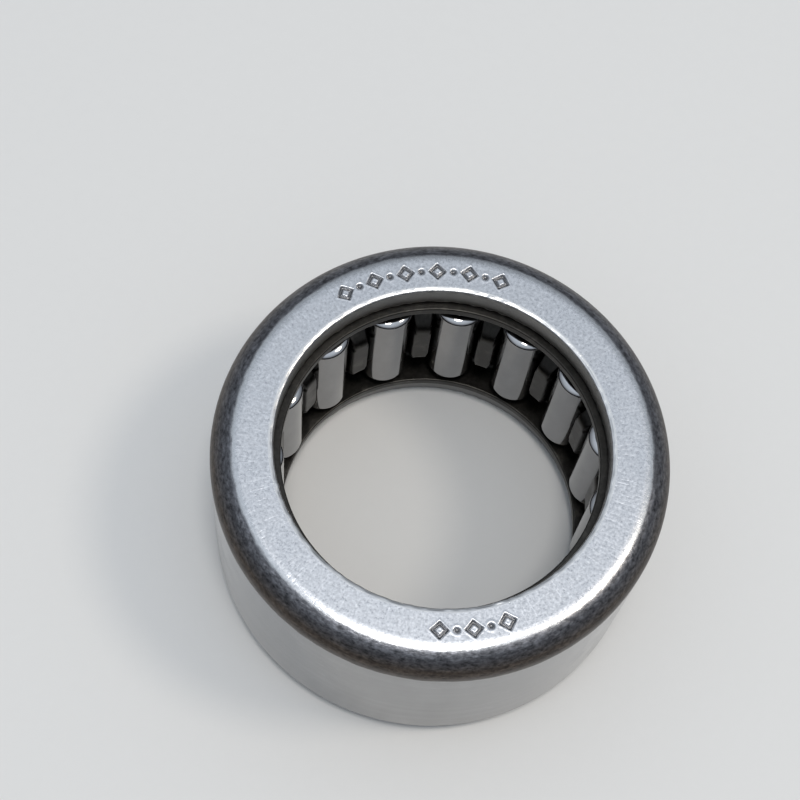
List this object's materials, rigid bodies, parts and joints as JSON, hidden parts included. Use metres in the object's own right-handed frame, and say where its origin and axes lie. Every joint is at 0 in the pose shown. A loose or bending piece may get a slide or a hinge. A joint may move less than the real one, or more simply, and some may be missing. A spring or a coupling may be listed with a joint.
{
  "type": "drawn cup needle roller bearing",
  "caption": "Open-ended drawn cup needle roller bearing: thin steel cup with two lips, pressed sheet cage and caged needle rollers for a shaft.",
  "frame": {"origin": "the bearing's centre, on its axis and midway between the two lip faces", "axes": "+Z along the bearing's axis, out of the stamped lip; +X through the middle of the first roller; the rest are numbered anticlockwise seen from +Z"},
  "size_m": [0.022, 0.022, 0.012],
  "materials": {
    "cup_steel": "satin",
    "cage_steel": "satin",
    "roller_steel": "polished"
  },
  "bodies": {
    "shell": {"drawn_cup_shell": "cup_steel"},
    "cage": {"roller_cage": "cage_steel"},
    "roller_01": {"needle_roller_01": "roller_steel"},
    "roller_02": {"needle_roller_02": "roller_steel"},
    "roller_03": {"needle_roller_03": "roller_steel"},
    "roller_04": {"needle_roller_04": "roller_steel"},
    "roller_05": {"needle_roller_05": "roller_steel"},
    "roller_06": {"needle_roller_06": "roller_steel"},
    "roller_07": {"needle_roller_07": "roller_steel"},
    "roller_08": {"needle_roller_08": "roller_steel"},
    "roller_09": {"needle_roller_09": "roller_steel"},
    "roller_10": {"needle_roller_10": "roller_steel"},
    "roller_11": {"needle_roller_11": "roller_steel"},
    "roller_12": {"needle_roller_12": "roller_steel"},
    "roller_13": {"needle_roller_13": "roller_steel"},
    "roller_14": {"needle_roller_14": "roller_steel"},
    "roller_15": {"needle_roller_15": "roller_steel"}
  },
  "joints": [
    {"name": "cage_spin", "type": "hinge", "parent": "shell", "child": "cage", "pos_m": [0, 0, 0], "axis": [0, 0, 1], "continuous": true},
    {"name": "roller_01_spin", "type": "hinge", "parent": "cage", "child": "roller_01", "pos_m": [0.00875, 0, 0], "axis": [0, 0, 1], "continuous": true},
    {"name": "roller_02_spin", "type": "hinge", "parent": "cage", "child": "roller_02", "pos_m": [0.00799, 0.00356, 0], "axis": [0, 0, 1], "continuous": true},
    {"name": "roller_03_spin", "type": "hinge", "parent": "cage", "child": "roller_03", "pos_m": [0.00585, 0.0065, 0], "axis": [0, 0, 1], "continuous": true},
    {"name": "roller_04_spin", "type": "hinge", "parent": "cage", "child": "roller_04", "pos_m": [0.0027, 0.00832, 0], "axis": [0, 0, 1], "continuous": true},
    {"name": "roller_05_spin", "type": "hinge", "parent": "cage", "child": "roller_05", "pos_m": [-0.00091, 0.0087, 0], "axis": [0, 0, 1], "continuous": true},
    {"name": "roller_06_spin", "type": "hinge", "parent": "cage", "child": "roller_06", "pos_m": [-0.00438, 0.00758, 0], "axis": [0, 0, 1], "continuous": true},
    {"name": "roller_07_spin", "type": "hinge", "parent": "cage", "child": "roller_07", "pos_m": [-0.00708, 0.00514, 0], "axis": [0, 0, 1], "continuous": true},
    {"name": "roller_08_spin", "type": "hinge", "parent": "cage", "child": "roller_08", "pos_m": [-0.00856, 0.00182, 0], "axis": [0, 0, 1], "continuous": true},
    {"name": "roller_09_spin", "type": "hinge", "parent": "cage", "child": "roller_09", "pos_m": [-0.00856, -0.00182, 0], "axis": [0, 0, 1], "continuous": true},
    {"name": "roller_10_spin", "type": "hinge", "parent": "cage", "child": "roller_10", "pos_m": [-0.00708, -0.00514, 0], "axis": [0, 0, 1], "continuous": true},
    {"name": "roller_11_spin", "type": "hinge", "parent": "cage", "child": "roller_11", "pos_m": [-0.00438, -0.00758, 0], "axis": [0, 0, 1], "continuous": true},
    {"name": "roller_12_spin", "type": "hinge", "parent": "cage", "child": "roller_12", "pos_m": [-0.00091, -0.0087, 0], "axis": [0, 0, 1], "continuous": true},
    {"name": "roller_13_spin", "type": "hinge", "parent": "cage", "child": "roller_13", "pos_m": [0.0027, -0.00832, 0], "axis": [0, 0, 1], "continuous": true},
    {"name": "roller_14_spin", "type": "hinge", "parent": "cage", "child": "roller_14", "pos_m": [0.00585, -0.0065, 0], "axis": [0, 0, 1], "continuous": true},
    {"name": "roller_15_spin", "type": "hinge", "parent": "cage", "child": "roller_15", "pos_m": [0.00799, -0.00356, 0], "axis": [0, 0, 1], "continuous": true}
  ],
  "couplings": [
    {"joint": "roller_01_spin", "follows": "cage_spin", "ratio": -8},
    {"joint": "roller_02_spin", "follows": "cage_spin", "ratio": -8},
    {"joint": "roller_03_spin", "follows": "cage_spin", "ratio": -8},
    {"joint": "roller_04_spin", "follows": "cage_spin", "ratio": -8},
    {"joint": "roller_05_spin", "follows": "cage_spin", "ratio": -8},
    {"joint": "roller_06_spin", "follows": "cage_spin", "ratio": -8},
    {"joint": "roller_07_spin", "follows": "cage_spin", "ratio": -8},
    {"joint": "roller_08_spin", "follows": "cage_spin", "ratio": -8},
    {"joint": "roller_09_spin", "follows": "cage_spin", "ratio": -8},
    {"joint": "roller_10_spin", "follows": "cage_spin", "ratio": -8},
    {"joint": "roller_11_spin", "follows": "cage_spin", "ratio": -8},
    {"joint": "roller_12_spin", "follows": "cage_spin", "ratio": -8},
    {"joint": "roller_13_spin", "follows": "cage_spin", "ratio": -8},
    {"joint": "roller_14_spin", "follows": "cage_spin", "ratio": -8},
    {"joint": "roller_15_spin", "follows": "cage_spin", "ratio": -8}
  ]
}
